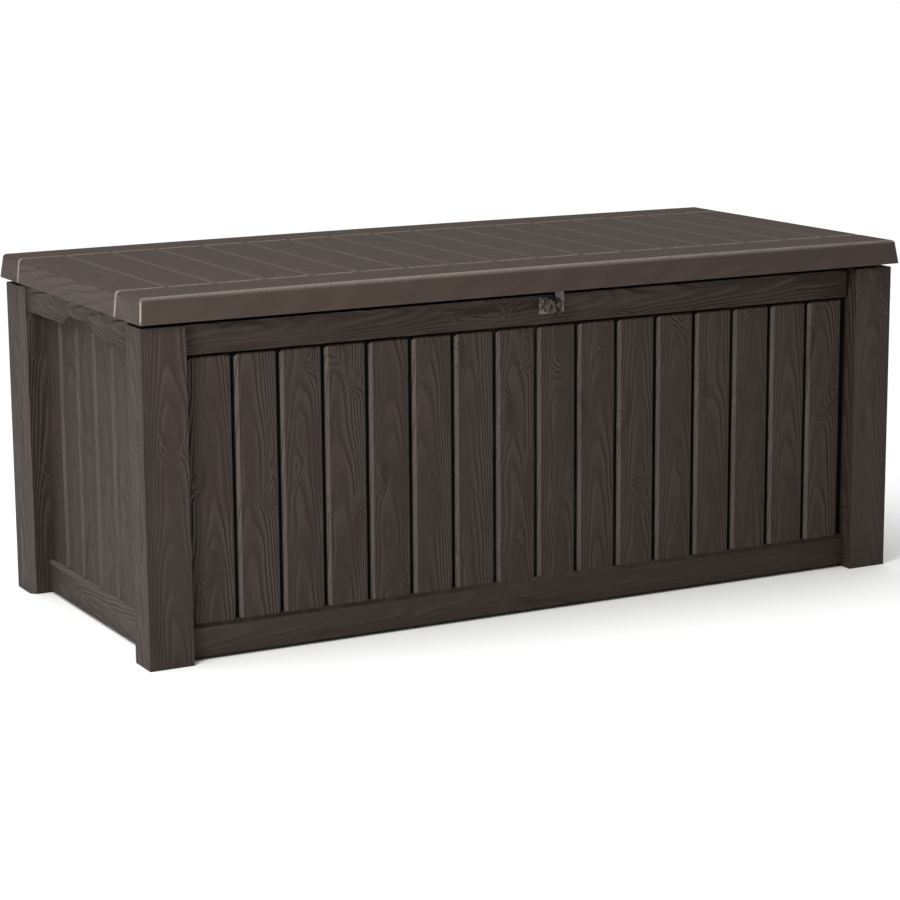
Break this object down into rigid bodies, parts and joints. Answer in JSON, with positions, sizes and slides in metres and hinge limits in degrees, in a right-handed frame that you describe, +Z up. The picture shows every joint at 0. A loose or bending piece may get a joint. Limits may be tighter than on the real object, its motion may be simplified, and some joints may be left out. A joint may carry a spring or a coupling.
{
  "type": "deck storage box",
  "caption": "Low outdoor storage chest with recessed vertical planks, solid corner posts, a hinged plank-pattern lid on gas struts and a padlock hasp.",
  "frame": {"origin": "middle of the footprint, on the ground under the corner posts", "axes": "+X to the right along the long front, +Y from the front to the hinged back, +Z up"},
  "size_m": [1.55, 0.708, 0.64],
  "materials": {
    "wall_resin": "dark brown resin with a moulded wood grain",
    "lid_resin": "dark grey-brown resin with a moulded wood grain",
    "inner_resin": "plain dark resin",
    "hinge_nylon": "moulded black-brown nylon",
    "strut_nylon": "moulded black nylon",
    "zinc_steel": "pressed sheet, zinc plated",
    "bright_steel": "bright plated",
    "black_paint": "satin black paint",
    "chrome_rod": "hard chrome"
  },
  "bodies": {
    "box": {"front_panel": "wall_resin", "back_panel": "wall_resin", "left_side_panel": "wall_resin", "right_side_panel": "wall_resin", "floor_panel_left": "inner_resin", "floor_panel_right": "inner_resin", "left_grip_rail": "wall_resin", "right_grip_rail": "wall_resin", "front_strip_left": "inner_resin", "front_strip_right": "inner_resin", "back_strip_left": "inner_resin", "back_strip_right": "inner_resin", "panel_screws": "bright_steel", "hinge_body_leaf_left": "hinge_nylon", "hinge_body_leaf_middle": "hinge_nylon", "hinge_body_leaf_right": "hinge_nylon", "hinge_pin_left": "bright_steel", "hinge_pin_middle": "bright_steel", "hinge_pin_right": "bright_steel", "hinge_body_screws": "bright_steel", "hasp_wall_bracket": "zinc_steel", "hasp_wall_screws": "bright_steel", "strut_lower_bracket_left": "zinc_steel", "strut_lower_bracket_right": "zinc_steel", "strut_bracket_screws": "bright_steel"},
    "lid": {"lid_top_shell": "lid_resin", "lid_inner_panel": "inner_resin", "lid_stiffener_front": "zinc_steel", "lid_stiffener_rear": "zinc_steel", "lid_screws": "bright_steel", "hinge_lid_leaf_left": "hinge_nylon", "hinge_lid_leaf_middle": "hinge_nylon", "hinge_lid_leaf_right": "hinge_nylon", "hinge_lid_screws": "bright_steel", "hasp_lid_bracket": "zinc_steel", "hasp_lid_screws": "bright_steel", "strut_upper_bracket_left": "zinc_steel", "strut_upper_bracket_right": "zinc_steel"},
    "left_strut_cylinder": {"strut_cylinder_left": "black_paint", "strut_socket_left": "strut_nylon"},
    "left_strut_rod": {"strut_rod_left": "chrome_rod", "strut_eye_left": "strut_nylon", "strut_pin_left": "bright_steel"},
    "right_strut_cylinder": {"strut_cylinder_right": "black_paint", "strut_socket_right": "strut_nylon"},
    "right_strut_rod": {"strut_rod_right": "chrome_rod", "strut_eye_right": "strut_nylon", "strut_pin_right": "bright_steel"}
  },
  "joints": [
    {"name": "lid_hinge", "type": "hinge", "parent": "box", "child": "lid", "pos_m": [0, 0.345, 0.587], "axis": [-1, 0, 0], "range_deg": [0, 70]},
    {"name": "left_strut_swing", "type": "hinge", "parent": "box", "child": "left_strut_cylinder", "pos_m": [-0.702, 0.245, 0.327], "axis": [1, 0, 0], "range_deg": [-8.51, 0]},
    {"name": "left_strut_stroke", "type": "slide", "parent": "left_strut_cylinder", "child": "left_strut_rod", "axis": [0, 0.0181, 0.9998], "range_m": [0, 0.1013]},
    {"name": "right_strut_swing", "type": "hinge", "parent": "box", "child": "right_strut_cylinder", "pos_m": [0.702, 0.245, 0.327], "axis": [1, 0, 0], "range_deg": [-8.51, 0]},
    {"name": "right_strut_stroke", "type": "slide", "parent": "right_strut_cylinder", "child": "right_strut_rod", "axis": [0, 0.0181, 0.9998], "range_m": [0, 0.1013]}
  ],
  "couplings": [
    {"joint": "left_strut_swing", "follows": "lid_hinge", "ratio": -0.12082},
    {"joint": "left_strut_stroke", "follows": "lid_hinge", "m_per_rad": 0.082742},
    {"joint": "right_strut_swing", "follows": "lid_hinge", "ratio": -0.12082},
    {"joint": "right_strut_stroke", "follows": "lid_hinge", "m_per_rad": 0.082742}
  ]
}
